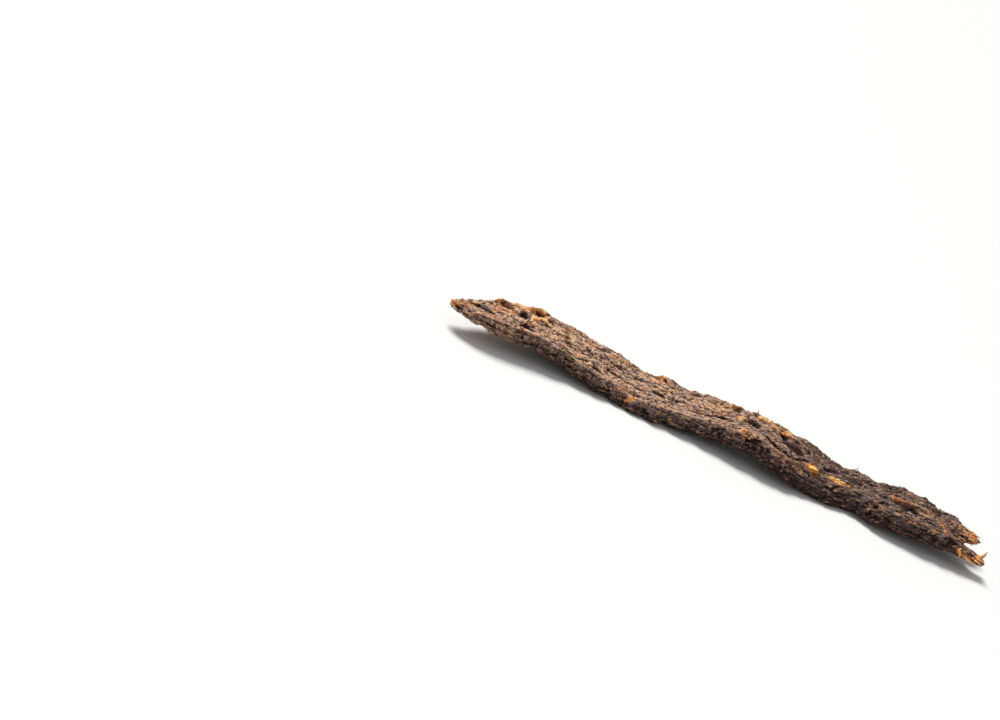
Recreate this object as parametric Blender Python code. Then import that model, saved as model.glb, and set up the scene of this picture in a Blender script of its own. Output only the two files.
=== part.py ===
"""A strip of beef jerky, lying flat with its broad, craggy face up.

The strip runs along X, from its tapered tip at -X to its torn, two-pronged end at +X.
Its thick, worn side looks towards -Y. It touches the ground on two small flats, and its
middle and both ends stand a little clear, as dried meat warps.
All sizes are in millimetres and are scaled to metres once, when the mesh is made.
"""
import math
from bisect import bisect_right

import bmesh
import bpy
from mathutils import Vector, noise

MM = 0.001
NAME = "jerky_strip"
COLOR = (0.058, 0.034, 0.024, 1.0)
ROUGHNESS = 0.62

# Overall size, and how finely the slab is divided along, across and through
LENGTH = 150.0
HALF = 0.5 * LENGTH
SEGMENTS = (120, 18, 4)
EDGE_CROWDING = 0.25

# Outline seen from above: the near and the far edge, as (x, y)
NEAR_EDGE = (
    (-75.0, -9.5), (-72.0, -11.7), (-67.0, -13.1), (-60.0, -11.9), (-50.0, -9.8),
    (-38.0, -9.3), (-20.0, -9.9), (-6.0, -8.2), (8.0, -9.2), (19.0, -10.2),
    (27.5, -8.2), (32.5, -8.3), (37.0, -6.1), (47.0, -8.7), (66.0, -8.0), (72.0, -7.0), (75.0, -6.2),
)
FAR_EDGE = (
    (-75.0, -7.4), (-72.0, -4.8), (-70.0, -2.4), (-67.0, 0.6), (-65.2, 3.6), (-63.0, 5.2),
    (-59.0, 7.7), (-54.0, 10.2), (-46.0, 11.0), (-38.0, 14.2), (-31.0, 15.7), (-24.0, 13.7),
    (-19.0, 14.6), (-14.0, 14.9), (-8.0, 11.7), (-2.0, 12.8), (1.0, 12.3), (6.0, 11.3),
    (11.0, 12.0), (16.0, 12.2), (21.0, 14.5), (26.0, 16.7), (31.0, 13.6), (35.0, 13.4),
    (39.0, 14.7), (43.0, 11.7), (47.5, 12.8), (52.0, 13.6), (57.0, 14.3), (61.0, 11.2),
    (64.0, 10.2), (67.0, 9.9), (70.0, 7.1), (75.0, 5.4),
)

# Warp of the underside, as (x, z), and thickness along the strip, as (x, thickness)
UNDERSIDE = (
    (-75.0, 4.3), (-66.0, 4.0), (-48.0, 2.8), (-36.0, 1.0), (-25.0, -0.3), (-15.0, 0.0),
    (-4.0, 1.8), (8.0, 3.2), (18.0, 2.0), (29.0, -0.2), (37.0, -0.1), (52.0, 1.9),
    (64.0, 2.7), (75.0, 2.8),
)
THICKNESS = (
    (-75.0, 1.4), (-70.0, 2.8), (-60.0, 3.5), (-40.0, 3.7), (-20.0, 3.7), (0.0, 3.9),
    (15.0, 4.2), (33.0, 4.4), (50.0, 4.0), (60.0, 3.4), (68.0, 2.5), (75.0, 1.1),
)

# Width of the worn slope between the near edge and the broad face, as (x, width)
NEAR_SLOPE = (
    (-75.0, 0.9), (-60.0, 1.6), (-40.0, 2.2), (-28.0, 2.6), (-15.0, 2.2), (2.0, 2.2),
    (14.0, 3.8), (27.0, 6.2), (33.0, 6.4), (38.0, 4.0), (50.0, 3.4), (62.0, 2.0), (75.0, 0.9),
)

# Rounding of the edges: falls and rises are shares of the thickness
NEAR_FALL = 0.5
LIP_HEIGHT = 0.35
LIP_WIDTH = 1.6
FAR_ROUND = 2.0
FAR_FALL = 0.38
UNDER_ROUND = 2.2
UNDER_RISE = 0.26
SIDE_BULGE = 0.5
END_BULGE = 0.7
THINNEST = 0.45

# The torn end: how far it falls short of the full length, from near edge to far edge
TORN_END = (
    (0.0, 1.9), (0.07, 0.5), (0.13, 1.2), (0.20, 0.2), (0.26, 0.8), (0.34, 3.6),
    (0.44, 5.4), (0.53, 6.6), (0.61, 5.6), (0.70, 3.0), (0.79, 3.6), (0.88, 2.4), (1.0, 5.0),
)
TORN_REACH = 16.0

# The far prong of the torn end stands higher than the near one: shares of the width, and rise
LIFT_FROM = 0.40
LIFT_TO = 0.68
LIFT_HEIGHT = 1.7

# The near prong curls up a little at its tip
CURL_CENTRE = 0.34
CURL_SPREAD = 0.14
CURL_HEIGHT = 0.25
CURL_REACH = 5.0

# Pits and bumps of the broad face: x, y, half length, half width, turn in degrees, depth
HOLLOWS = (
    (-62.3, 1.2, 2.2, 2.0, 8.0, 0.6),
    (-57.2, 0.6, 1.7, 2.1, 0.0, 1.3),
    (-53.8, 6.3, 1.5, 1.7, 0.0, 1.0),
    (-55.2, -5.4, 2.6, 2.0, 14.0, 1.5),
    (-45.0, 6.9, 4.5, 2.0, -8.0, 0.6),
    (-30.0, 5.7, 5.0, 1.8, 6.0, 0.7),
    (-12.0, 5.3, 6.0, 2.2, -5.0, 0.6),
    (3.2, 8.4, 1.8, 2.3, 0.0, 0.9),
    (7.2, 2.6, 3.0, 1.5, -3.0, 0.9),
    (16.7, 6.9, 1.6, 1.9, 0.0, 1.2),
    (19.8, 2.2, 4.2, 2.4, 12.0, 0.9),
    (40.0, 5.2, 4.6, 1.8, 12.0, 0.6),
    (47.4, 9.8, 2.0, 1.6, 0.0, 0.7),
    (52.2, 1.6, 4.6, 2.6, -6.0, 1.4),
    (54.4, 1.4, 1.9, 1.8, 0.0, 0.6),
    (60.5, 5.3, 2.8, 1.8, 14.0, 0.6),
    (-57.4, 6.2, 2.6, 1.6, 20.0, -0.6),
    (-52.6, 3.0, 3.2, 1.3, 34.0, -0.6),
    (-53.7, 8.8, 2.0, 1.4, 0.0, -0.5),
    (-17.6, 12.0, 3.2, 1.6, 0.0, -0.4),
    (6.0, -6.3, 3.0, 1.8, 4.0, -0.7),
    (11.4, 9.2, 3.8, 1.6, 6.0, -0.5),
    (53.4, 5.0, 3.2, 1.3, -4.0, -0.6),
    (65.0, -3.9, 3.6, 2.0, 6.0, -0.4),
)

# Cracks of the broad face: start x, y, end x, y, half width, depth
CRACKS = (
    (-69.0, -7.1, -65.0, -7.6, 1.1, 0.5),
    (-63.3, -6.0, -60.0, -5.4, 1.1, 0.5),
    (-48.0, -5.7, -41.2, -5.9, 1.2, 0.6),
    (-41.2, -5.9, -38.1, -3.7, 1.2, 0.7),
    (-36.1, -3.7, -33.2, -5.6, 1.2, 0.6),
    (-32.0, 0.2, -20.0, -1.8, 1.2, 0.5),
    (-18.9, 1.8, -16.5, 1.0, 1.2, 0.6),
    (-8.0, -2.3, 2.0, -0.4, 1.2, 0.5),
    (11.8, -0.6, 13.7, -2.0, 1.3, 0.8),
    (13.7, -2.0, 15.9, -4.4, 1.3, 0.9),
    (15.9, -4.4, 18.2, -5.2, 1.3, 1.0),
    (18.2, -5.2, 21.0, -3.8, 1.3, 0.9),
    (21.0, -3.8, 23.7, 0.0, 1.3, 0.8),
    (29.7, 3.2, 32.5, 6.0, 1.2, 0.7),
    (46.5, 6.5, 50.5, 8.0, 1.1, 0.5),
)

# Grain of the two faces: size along and across the strip, height, and where it is sampled
GRAIN = (
    (9.0, 3.2, 0.50, Vector((3.1, 7.7, 1.3))),
    (3.8, 2.2, 0.40, Vector((11.9, 2.3, 5.1))),
)
UNDER_GRAIN = 0.6
UNDER_SAMPLE = 40.0

# Raggedness of the edges seen from above: size along the strip, height, and sample
EDGE_GRAIN = (3.6, 0.85, Vector((5.3, 0.4, 9.2)))
FAR_SAMPLE = 20.0

# Lumps of the sides and ends: size along, size as a share of the thickness, height, and sample
SIDE_GRAIN = (4.2, 0.4, 0.55, Vector((8.7, 6.1, 2.9)))
SIDE_SAMPLE = 60.0


def along(stations, x):
    """Height at x of the smooth curve through the stations."""
    xs = [station[0] for station in stations]
    ys = [station[1] for station in stations]
    last = len(xs) - 1
    i = min(max(bisect_right(xs, x) - 1, 0), last - 1)

    def slope(k):
        low, high = max(k - 1, 0), min(k + 1, last)
        return (ys[high] - ys[low]) / (xs[high] - xs[low])

    span = xs[i + 1] - xs[i]
    t = min(max((x - xs[i]) / span, 0.0), 1.0)
    rest = 1.0 - t
    return (rest * rest * (1.0 + 2.0 * t) * ys[i] + t * t * (3.0 - 2.0 * t) * ys[i + 1]
            + t * rest * rest * span * slope(i) - t * t * rest * span * slope(i + 1))


def smooth_step(low, high, x):
    """Ease from 0 at low to 1 at high."""
    t = min(max((x - low) / (high - low), 0.0), 1.0)
    return t * t * (3.0 - 2.0 * t)


def rounding(distance, width):
    """Fall of a quarter round, from 1 at its edge to 0 at its width."""
    reach = 1.0 - min(max(distance / width, 0.0), 1.0)
    return 1.0 - math.sqrt(1.0 - reach * reach)


def hollows(x, y):
    """How much the pits lower, and the bumps raise, the broad face."""
    depth = 0.0
    for cx, cy, half_length, half_width, turn, deep in HOLLOWS:
        c, s = math.cos(math.radians(turn)), math.sin(math.radians(turn))
        dx, dy = x - cx, y - cy
        q = ((dx * c + dy * s) / half_length) ** 2 + ((dy * c - dx * s) / half_width) ** 2
        if q < 1.0:
            depth += deep * (1.0 - q) ** 1.5
    return -depth


def cracks(x, y):
    """How much the cracks lower the broad face."""
    depth = 0.0
    for x0, y0, x1, y1, half_width, deep in CRACKS:
        run = Vector((x1 - x0, y1 - y0))
        t = min(max(Vector((x - x0, y - y0)).dot(run) / run.length_squared, 0.0), 1.0)
        gap = math.hypot(x - x0 - run.x * t, y - y0 - run.y * t)
        if gap < half_width:
            depth = max(depth, deep * (1.0 - gap / half_width))
    return -depth


def rough(x, y, z, start):
    """Smooth seeded unevenness, about -1 to 1, with two sizes of lump."""
    return noise.fractal(Vector((x, y, z)) + start, 1.0, 2.0, 2)


def grain(x, y, sample=0.0):
    """Fibrous unevenness of a face."""
    return sum(height * rough(x / run, y / cross, sample, start)
               for run, cross, height, start in GRAIN)


def ragged(x, sample=0.0):
    """How far an edge strays from its smooth outline."""
    run, height, start = EDGE_GRAIN
    return height * rough(x / run, 0.0, sample, start)


def swell(distance, level, bulge):
    """How far a side or an end stands out between its lower and its upper edge."""
    run, rise, height, start = SIDE_GRAIN
    belly = 4.0 * level * (1.0 - level)
    return belly * (bulge + height * rough(distance / run, level / rise, 0.0, start))


def place(u, v, w):
    """Put a point of the slab, each of u, v and w from -1 to 1, on the strip."""
    x = HALF * u
    share = 0.5 + 0.5 * v * (1.0 + EDGE_CROWDING - EDGE_CROWDING * v * v)
    near = along(NEAR_EDGE, x) + ragged(x)
    far = along(FAR_EDGE, x) + ragged(x, FAR_SAMPLE)
    y = near + share * (far - near)
    from_near, from_far = y - near, far - y

    thick = along(THICKNESS, x)
    slope = along(NEAR_SLOPE, x)
    lip = LIP_HEIGHT * math.exp(-((from_near - slope) / LIP_WIDTH) ** 2)
    top = thick + lip + hollows(x, y) + cracks(x, y) + grain(x, y)
    top = max(top, THINNEST * thick)
    top -= thick * NEAR_FALL * rounding(from_near, slope)
    top -= thick * FAR_FALL * rounding(from_far, FAR_ROUND)
    bottom = UNDER_GRAIN * grain(x, y, UNDER_SAMPLE)
    bottom += thick * UNDER_RISE * rounding(min(from_near, from_far), UNDER_ROUND)

    level = 0.5 + 0.5 * w
    curl = CURL_HEIGHT * math.exp(-((share - CURL_CENTRE) / CURL_SPREAD) ** 2)
    z = along(UNDERSIDE, x) + bottom + level * (top - bottom)
    z += curl * smooth_step(HALF - CURL_REACH, HALF, x)

    forked = smooth_step(HALF - TORN_REACH, HALF, x)
    z += LIFT_HEIGHT * forked * smooth_step(LIFT_FROM, LIFT_TO, share)
    torn = along(TORN_END, share) * forked
    if abs(v) == 1.0:
        y += v * swell(x + SIDE_SAMPLE * v, level, SIDE_BULGE)
    if abs(u) == 1.0:
        x += u * swell(y + SIDE_SAMPLE * u, level, END_BULGE)
    return Vector((x - torn, y, max(z, 0.0)))


def slab(segments):
    """A cube from -1 to 1, cut into the given number of steps along each axis."""
    bm = bmesh.new()
    bmesh.ops.create_cube(bm, size=2.0)
    for axis, count in enumerate(segments):
        runs = [e for e in bm.edges if abs(e.verts[0].co[axis] - e.verts[1].co[axis]) > 1e-6]
        bmesh.ops.subdivide_edges(bm, edges=runs, cuts=count - 1)
    return bm


def centre_over_origin(bm):
    """Move the strip level until its outline is centred on the origin."""
    for axis in (0, 1):
        values = [vertex.co[axis] for vertex in bm.verts]
        middle = 0.5 * (min(values) + max(values))
        for vertex in bm.verts:
            vertex.co[axis] -= middle


def jerky_material():
    material = bpy.data.materials.new("dried_beef")
    material.use_nodes = True
    shader = material.node_tree.nodes["Principled BSDF"]
    shader.inputs["Base Color"].default_value = COLOR
    shader.inputs["Roughness"].default_value = ROUGHNESS
    shader.inputs["Metallic"].default_value = 0.0
    material.diffuse_color = COLOR
    return material


def make_strip(collection):
    bm = slab(SEGMENTS)
    for vertex in bm.verts:
        vertex.co = place(*vertex.co)
    centre_over_origin(bm)
    bmesh.ops.scale(bm, vec=(MM, MM, MM), verts=bm.verts)
    bmesh.ops.recalc_face_normals(bm, faces=bm.faces)
    mesh = bpy.data.meshes.new(NAME)
    bm.to_mesh(mesh)
    bm.free()
    mesh.materials.append(jerky_material())
    strip = bpy.data.objects.new(NAME, mesh)
    collection.objects.link(strip)
    return strip


def main():
    for old in list(bpy.data.objects):
        bpy.data.objects.remove(old)
    collection = bpy.data.collections.new("beef_jerky_strip")
    bpy.context.scene.collection.children.link(collection)
    make_strip(collection)


main()
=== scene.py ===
"""The looks of a strip of beef jerky that lies flat with its craggy, broad face up.

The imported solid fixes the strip's size and form. This script replaces it with dried meat:
a finely creased body, crumbs and short fibres that stand out of it, flecks of golden fat and
the torn fibres of its ends. Shapes are worked out in millimetres and scaled to metres once.
"""
import math
import random
from bisect import bisect_right
from functools import lru_cache

import bmesh
import bpy
import numpy as np
from mathutils import Matrix, Vector, noise
from mathutils.bvhtree import BVHTree


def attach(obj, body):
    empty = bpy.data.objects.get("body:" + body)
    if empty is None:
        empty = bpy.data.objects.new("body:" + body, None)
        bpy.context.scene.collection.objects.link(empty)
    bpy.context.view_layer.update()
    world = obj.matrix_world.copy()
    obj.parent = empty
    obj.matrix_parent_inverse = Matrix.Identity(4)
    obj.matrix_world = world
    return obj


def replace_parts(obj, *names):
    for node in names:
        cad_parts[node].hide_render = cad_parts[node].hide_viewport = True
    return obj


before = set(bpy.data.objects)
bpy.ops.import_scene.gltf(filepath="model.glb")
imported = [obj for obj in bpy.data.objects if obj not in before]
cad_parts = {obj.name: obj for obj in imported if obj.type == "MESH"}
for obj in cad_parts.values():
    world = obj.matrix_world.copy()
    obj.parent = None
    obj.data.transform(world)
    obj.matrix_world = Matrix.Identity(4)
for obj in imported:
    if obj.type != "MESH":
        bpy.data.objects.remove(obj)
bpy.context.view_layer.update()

MM = 0.001
NODE = "jerky_strip"
BODY = "root"
SEED = 41

# Form of the strip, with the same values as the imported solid

LENGTH = 150.0
HALF = 0.5 * LENGTH
SEGMENTS = (560, 70, 16)
EDGE_CROWDING = 0.25

# Outline seen from above: the near and the far edge, as (x, y)
NEAR_EDGE = (
    (-75, -9.5), (-72, -11.7), (-67, -13.1), (-60, -11.9), (-50, -9.8),
    (-38, -9.3), (-20, -9.9), (-6, -8.2), (8, -9.2), (19, -10.2),
    (27.5, -8.2), (32.5, -8.3), (37, -6.1), (47, -8.7), (66, -8), (72, -7),
    (75, -6.2),
)
FAR_EDGE = (
    (-75, -7.4), (-72, -4.8), (-70, -2.4), (-67, 0.6), (-65.2, 3.6), (-63, 5.2),
    (-59, 7.7), (-54, 10.2), (-46, 11), (-38, 14.2), (-31, 15.7), (-24, 13.7),
    (-19, 14.6), (-14, 14.9), (-8, 11.7), (-2, 12.8), (1, 12.3), (6, 11.3),
    (11, 12), (16, 12.2), (21, 14.5), (26, 16.7), (31, 13.6), (35, 13.4),
    (39, 14.7), (43, 11.7), (47.5, 12.8), (52, 13.6), (57, 14.3), (61, 11.2),
    (64, 10.2), (67, 9.9), (70, 7.1), (75, 5.4),
)

# Warp of the underside, as (x, z), and thickness along the strip, as (x, thickness)
UNDERSIDE = (
    (-75, 4.3), (-66, 4), (-48, 2.8), (-36, 1), (-25, -0.3), (-15, 0),
    (-4, 1.8), (8, 3.2), (18, 2), (29, -0.2), (37, -0.1), (52, 1.9),
    (64, 2.7), (75, 2.8),
)
THICKNESS = (
    (-75, 1.4), (-70, 2.8), (-60, 3.5), (-40, 3.7), (-20, 3.7), (0, 3.9),
    (15, 4.2), (33, 4.4), (50, 4), (60, 3.4), (68, 2.5), (75, 1.1),
)

# Width of the worn slope between the near edge and the broad face, as (x, width)
NEAR_SLOPE = (
    (-75, 0.9), (-60, 1.6), (-40, 2.2), (-28, 2.6), (-15, 2.2), (2, 2.2),
    (14, 3.8), (27, 6.2), (33, 6.4), (38, 4), (50, 3.4), (62, 2), (75, 0.9),
)

# Rounding of the edges: falls and rises are shares of the thickness
NEAR_FALL = 0.5
LIP_HEIGHT = 0.35
LIP_WIDTH = 1.6
FAR_ROUND = 2.0
FAR_FALL = 0.38
UNDER_ROUND = 2.2
UNDER_RISE = 0.26
SIDE_BULGE = 0.5
END_BULGE = 0.7
THINNEST = 0.35

# The torn end: how far it falls short of the full length, from near edge to far edge
TORN_END = (
    (0, 1.9), (0.07, 0.5), (0.13, 1.2), (0.2, 0.2), (0.26, 0.8), (0.34, 3.6),
    (0.44, 5.4), (0.53, 6.6), (0.61, 5.6), (0.7, 3), (0.79, 3.6), (0.88, 2.4), (1, 5),
)
TORN_REACH = 16.0

# The far prong of the torn end stands higher than the near one: shares of the width, and rise
LIFT_FROM = 0.40
LIFT_TO = 0.68
LIFT_HEIGHT = 1.7

# The near prong curls up a little at its tip
CURL_CENTRE = 0.34
CURL_SPREAD = 0.14
CURL_HEIGHT = 0.25
CURL_REACH = 5.0

# Pits and bumps of the broad face: x, y, half length, half width, turn in degrees, depth
HOLLOWS = (
    (-62.3, 1.2, 2.2, 2, 8, 0.6), (-57.2, 0.6, 1.7, 2.1, 0, 1.3), (-53.8, 6.3, 1.5, 1.7, 0, 1),
    (-55.2, -5.4, 2.6, 2, 14, 1.5), (-45, 6.9, 4.5, 2, -8, 0.6), (-30, 5.7, 5, 1.8, 6, 0.7),
    (-12, 5.3, 6, 2.2, -5, 0.6), (3.2, 8.4, 1.8, 2.3, 0, 0.9), (7.2, 2.6, 3, 1.5, -3, 0.9),
    (16.7, 6.9, 1.6, 1.9, 0, 1.2), (19.8, 2.2, 4.2, 2.4, 12, 0.9), (40, 5.2, 4.6, 1.8, 12, 0.6),
    (47.4, 9.8, 2, 1.6, 0, 0.7), (52.2, 1.6, 4.6, 2.6, -6, 1.4), (54.4, 1.4, 1.9, 1.8, 0, 0.6),
    (60.5, 5.3, 2.8, 1.8, 14, 0.6), (-57.4, 6.2, 2.6, 1.6, 20, -0.6),
    (-52.6, 3, 3.2, 1.3, 34, -0.6), (-53.7, 8.8, 2, 1.4, 0, -0.5),
    (-17.6, 12, 3.2, 1.6, 0, -0.4), (6, -6.3, 3, 1.8, 4, -0.7), (11.4, 9.2, 3.8, 1.6, 6, -0.5),
    (53.4, 5, 3.2, 1.3, -4, -0.6), (65, -3.9, 3.6, 2, 6, -0.4),
)
HOLLOW_POWER = 0.9
BUMP_POWER = 1.5

# Cracks of the broad face: start x, y, end x, y, half width, depth
CRACKS = (
    (-69, -7.1, -65, -7.6, 0.88, 0.4), (-63.3, -6, -60, -5.4, 0.88, 0.4),
    (-48, -5.7, -41.2, -5.9, 0.96, 0.48), (-41.2, -5.9, -38.1, -3.7, 0.96, 0.56),
    (-36.1, -3.7, -33.2, -5.6, 0.96, 0.48), (-32, 0.2, -20, -1.8, 0.96, 0.4),
    (-18.9, 1.8, -16.5, 1, 0.96, 0.48), (-8, -2.3, 2, -0.4, 0.96, 0.4),
    (11.8, -0.6, 13.7, -2, 0.84, 0.9), (13.7, -2, 15.9, -4.4, 0.86, 1),
    (15.9, -4.4, 18.2, -5.2, 0.88, 1.1), (18.2, -5.2, 21, -3.8, 0.86, 1),
    (21, -3.8, 23.7, 0, 0.84, 0.9), (29.7, 3.2, 32.5, 6, 0.96, 0.56),
    (46.5, 6.5, 50.5, 8, 0.88, 0.4),
)

# Grain of the two faces: size along and across the strip, height, and where it is sampled
GRAIN = (
    (9, 3.2, 0.5, Vector((3.1, 7.7, 1.3))),
    (3.8, 2.2, 0.4, Vector((11.9, 2.3, 5.1))),
)
UNDER_GRAIN = 0.6
UNDER_SAMPLE = 40.0

# Raggedness of the edges seen from above: size along the strip, height, and sample
EDGE_GRAIN = (3.6, 0.85, Vector((5.3, 0.4, 9.2)))
FAR_SAMPLE = 20.0

# Lumps of the sides and ends: size along, size as a share of the thickness, height, and sample
SIDE_GRAIN = (4.2, 0.4, 0.40, Vector((8.7, 6.1, 2.9)))
SIDE_SAMPLE = 60.0

# Relief and colour that are finer than the solid

# Pits, cracks and patches wander off their plain shapes: size and reach of the wandering,
# and the share of it that each kind follows
WANDER_SIZE = 2.1
WANDER = 0.7
CRACK_WANDER = 0.45
PIT_WANDER = 0.3
SLEEK_WANDER = 0.4

# Where the noise is sampled for a drift along each axis
DRIFT_STARTS = (
    Vector((23.9, 13.2, 28.3)), Vector((7.1, 17.1, 13.1)), Vector((7.6, 2.3, 22.9)),
)

# Small pits of both faces: number, where across the strip, half lengths, half widths, turn,
# depths, and length of the bins that they are sorted into
PIT_COUNT = 170
PIT_SHARES = (0.05, 0.95)
PIT_LENGTH = (0.5, 1.6)
PIT_WIDTH = (0.3, 0.8)
PIT_TURN = 20.0
PIT_DEPTH = (0.25, 0.75)
PIT_BIN = 4.0

# Amber and orange patches of thin or fatty meat: x, y, half length, half width, turn, strength
AMBER = (
    (-74.6, -9.6, 1.6, 2.4, 0, 0.6), (-64, 5, 6, 1.6, 40, 0.6), (-57.4, 6.2, 2.4, 1.7, 20, 1),
    (-53.6, 8.4, 2.2, 2, 0, 1), (-53.6, 6, 1.8, 1.3, 0, 0.9), (-52.6, 3, 3, 1.2, 34, 1),
    (-62.3, 1, 2.4, 1.8, 10, 0.55), (-41.3, 10.9, 0.9, 1, 0, 0.8),
    (-44.5, 8.6, 0.8, 0.9, 0, 0.8), (-27.5, -7.2, 1, 1.1, 0, 0.9), (-24, -8.6, 1.3, 1.2, 0, 1),
    (-18, 12.8, 1.6, 2, 0, 1), (-15.8, 11.4, 1, 1, 0, 0.7), (-1.2, 2, 1.4, 2.2, 0, 0.6),
    (-1.5, 5, 6, 3.4, 4, 0.32), (-18.9, 9.4, 1.6, 1.3, 10, 0.9), (2.1, 9.8, 1.8, 1.6, 0, 0.9),
    (4.4, 3.3, 1.9, 1.9, 0, 0.7), (10.8, 9, 3.4, 1.5, 6, 1), (16, 8.6, 4.4, 1.1, 8, 0.8),
    (6, -6.4, 2.6, 1.4, 4, 0.9), (7.2, 2.4, 3, 1, 0, 0.5), (32.8, 0.4, 3.8, 2.2, -6, 0.6),
    (25.3, -3, 3, 1.6, -12, 0.7), (22, -7, 3.2, 1.6, 10, 0.3), (52, 2.4, 4.6, 2.8, -6, 0.75),
    (49, 4.2, 2.4, 1.2, 5, 0.5), (50, -5.2, 1.6, 1, 0, 0.5), (59.4, 4.6, 3, 2.2, 6, 0.35),
    (57.3, 1.8, 2, 1.1, 0, 0.4), (62.3, 0, 2.4, 1.1, 6, 0.6), (66.4, 3.6, 3, 2.4, 6, 0.2),
    (59.6, -6.2, 1.4, 1, 0, 0.7), (63.4, -4.6, 1.6, 0.9, 0, 0.6), (44.9, -5.6, 1, 0.8, 0, 0.7),
    (42.3, -6.4, 1, 0.8, 0, 0.6), (53.4, -6.8, 1.4, 1, 0, 0.7), (71.2, 3.2, 2.6, 3.4, 0, 0.9),
    (70.8, -7.4, 5.6, 1, 2, 1), (73.6, -6, 1.2, 1.8, 0, 0.6),
)

# Sleek places without flakes, some swollen and some sunk: x, y, half length, half width,
# turn, rise, tone and strength
SLEEK = (
    (-74.7, -8.6, 1, 1.5, 0, 0.1, 0.62, 0.8), (-72.5, -8.9, 2.4, 2.5, 0, 0, 0.4, 0.65),
    (-62.6, -0.4, 4.2, 4.4, 0, 0, 0.56, 0.5), (-64.6, 3.4, 2.4, 1.5, 44, 0.45, 0.84, 0.9),
    (-60.4, 5.4, 2.6, 1.5, 32, 0.4, 0.66, 0.9), (-62.2, 1.4, 2.1, 2, 8, -0.25, 0.26, 0.95),
    (-58, 4.6, 2.1, 1.3, 24, 0.5, 0.7, 1), (-55.9, 6.4, 1.4, 1.4, 0, 0.3, 0.36, 1),
    (-53.7, 6.3, 1.6, 1.4, 0, -0.3, 0.1, 1), (-54.1, 8.8, 1.6, 1.3, 0, 0.35, 0.8, 1),
    (-54.4, 1.9, 1.8, 1, 25, 0.4, 0.58, 1), (-51.9, 3.3, 2.2, 1.2, 20, 0.3, 1.14, 1),
    (-55.4, -5.6, 2.3, 1.8, 14, -0.2, 0.24, 0.8), (-54.5, -1.9, 0.7, 0.7, 0, 0.1, 0.66, 0.9),
    (-52.4, -6.4, 0.9, 0.8, 0, 0.2, 0.66, 0.9), (-41.3, 10.9, 0.6, 0.8, 0, 0.2, 0.8, 1),
    (-24.1, -8.6, 0.9, 0.8, 0, 0.3, 0.66, 1), (-18.9, 9.4, 1.3, 1.3, 10, 0.1, 0.42, 0.8),
    (-18, 13, 1.4, 1.2, 0, 0.4, 0.62, 1), (4.4, 3.2, 1.2, 1.2, 20, 0.15, 0.78, 0.7),
    (10.2, 8.8, 2.1, 1.5, 4, 0.25, 1.16, 1), (13.8, 8.1, 2.3, 1, -6, 0.2, 0.6, 1),
    (17.8, 9.4, 2, 0.9, 4, 0.2, 0.7, 1), (5.4, -6.4, 1.6, 1.3, 0, 0.3, 0.56, 0.5),
    (8.1, -6.3, 0.8, 0.8, 0, 0.2, 1, 1), (16.4, -7.6, 4.6, 1.8, 0, 0, 0.5, 0.3),
    (22.4, -6.8, 1.8, 1, 10, 0.1, 0.52, 0.35), (25.2, -3, 3, 2.1, -14, 0.1, 0.36, 0.8),
    (33, 0.3, 3.4, 1.9, -6, 0.1, 0.34, 0.8), (49, 4, 1.6, 0.9, 5, 0.15, 0.44, 0.4),
    (52, 2.3, 4, 2.6, -6, -0.1, 0.06, 0.8), (57.3, 1.9, 1.6, 0.9, 0, 0.15, 0.46, 0.35),
    (58.8, 5.7, 2.1, 1.1, 6, 0.15, 0.46, 0.4), (60.2, 3.4, 2, 0.9, 6, 0.15, 0.46, 0.35),
    (62.3, 0, 2, 0.9, 6, 0.25, 0.5, 0.6), (54.6, -3.9, 1.7, 0.8, 0, 0.15, 0.46, 0.35),
    (63.2, -4.6, 1.4, 0.8, 0, 0.15, 0.48, 0.4), (53.5, 10, 2, 1, 0, 0.2, 0.46, 0.4),
    (71.4, 3.2, 1.4, 2.2, 0, 0, 0.7, 0.4),
)

# Where patches and sleek places begin to fade, as squared shares of their reach. How the
# rise of a sleek place falls off, and the size and sample of its unevenness
PATCH_CORE = 0.2
SLEEK_CORE = 0.45
SLEEK_POWER = 0.7
SLEEK_GRAIN = (0.9, 1.4, 9.0)

# Painted shade pooled in the pits: x, y, half length, half width, turn, strength
SHADE_POOLS = (
    (-57.2, 0.8, 1.7, 2.3, 0, 0.85), (-53.6, 5.7, 1, 0.9, 0, 0.5),
    (-62.3, 1.2, 2, 1.6, 8, 0.45), (-55.5, -6, 3.1, 2.6, 14, 1), (-45.4, 0.9, 1.5, 1, 6, 0.8),
    (-35.2, 9.6, 0.9, 1, 0, 0.7), (-17.6, 1.4, 1.8, 1, -8, 0.8),
    (-14.2, 11.2, 0.8, 0.9, 0, 0.7), (3.2, 8.3, 1, 2, 0, 0.6), (7.2, 2.6, 3.2, 1.3, -2, 0.95),
    (16.3, 6.7, 1, 1.6, 0, 1), (19.4, 2.2, 4.2, 3.4, 12, 0.9), (9, -8.4, 1.6, 1.4, 0, 0.6),
    (53.6, 2.2, 2.6, 1.6, -8, 0.85), (51.6, 1.8, 3.4, 2.2, -6, 0.4),
)

# The painted shade of a pit or crack reaches up its far wall by this much
FAR_WALL = 0.6

# Levels between which the marks come in, from 0 at the foot to 1 at the top
FACE_LEVELS = (0.3, 0.9)
AMBER_LEVELS = (0.1, 0.6)
FOOT_LEVELS = (0.05, 0.6)

# How much painted shade hollows, small pits and cracks get for their depth
SUNK_FROM = 0.4
PIT_SHADE = 0.8
MOST_PIT_SHADE = 0.7
CRACK_SHADE = 2.4

# The far rim gets a painted amber rim light, and the torn end is amber: strengths, width of the
# rim, and how far the end reaches in
RIM_LIGHT = 0.4
RIM_LIGHT_WIDTH = 1.6
END_AMBER = 0.3
END_REACH = (5.0, 0.5)

# How dark the meat is along the strip, as (x, share of its lightness that is lost): darker
# meat towards the torn end, and painted shade where less light falls on the strip
DARKNESS_AND_SHADE = (
    (-75, 0), (-40, 0), (-25, 0.12), (-12, 0.14), (5, 0.28), (20, 0.57),
    (35, 0.69), (50, 0.72), (65, 0.69), (75, 0.42),
)
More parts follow.
